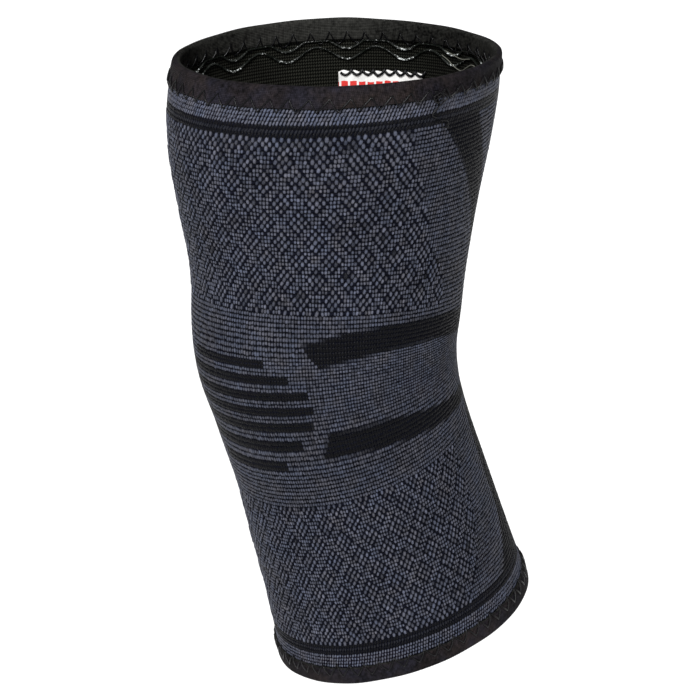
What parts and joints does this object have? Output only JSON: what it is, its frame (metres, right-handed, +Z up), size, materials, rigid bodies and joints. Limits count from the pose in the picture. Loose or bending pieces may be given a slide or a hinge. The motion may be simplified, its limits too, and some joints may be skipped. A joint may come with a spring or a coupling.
{
  "type": "knee sleeve",
  "caption": "Seamless knitted knee sleeve with folded elastic bindings at both ends, wavy silicone grip lines and a small woven label inside the top.",
  "frame": {"origin": "middle of the hollow at the knee, on the leg that holds the sleeve up", "axes": "+Z up the thigh, -Y out of the kneecap, +X to the wearer's left; the calf bends back toward +Y below the knee"},
  "size_m": [0.1386, 0.1645, 0.2659],
  "materials": {
    "knit": "slate and black purl knit in diamonds, bars and stripes",
    "tape": "matt black elastic tape",
    "silicone": "clear glossy silicone",
    "label": "bare white woven satin"
  },
  "bodies": {
    "root": {"knit_tube": "knit", "upper_binding": "tape", "lower_binding": "tape", "grip_line_upper": "silicone", "grip_line_lower": "silicone", "label": "label"}
  },
  "joints": []
}
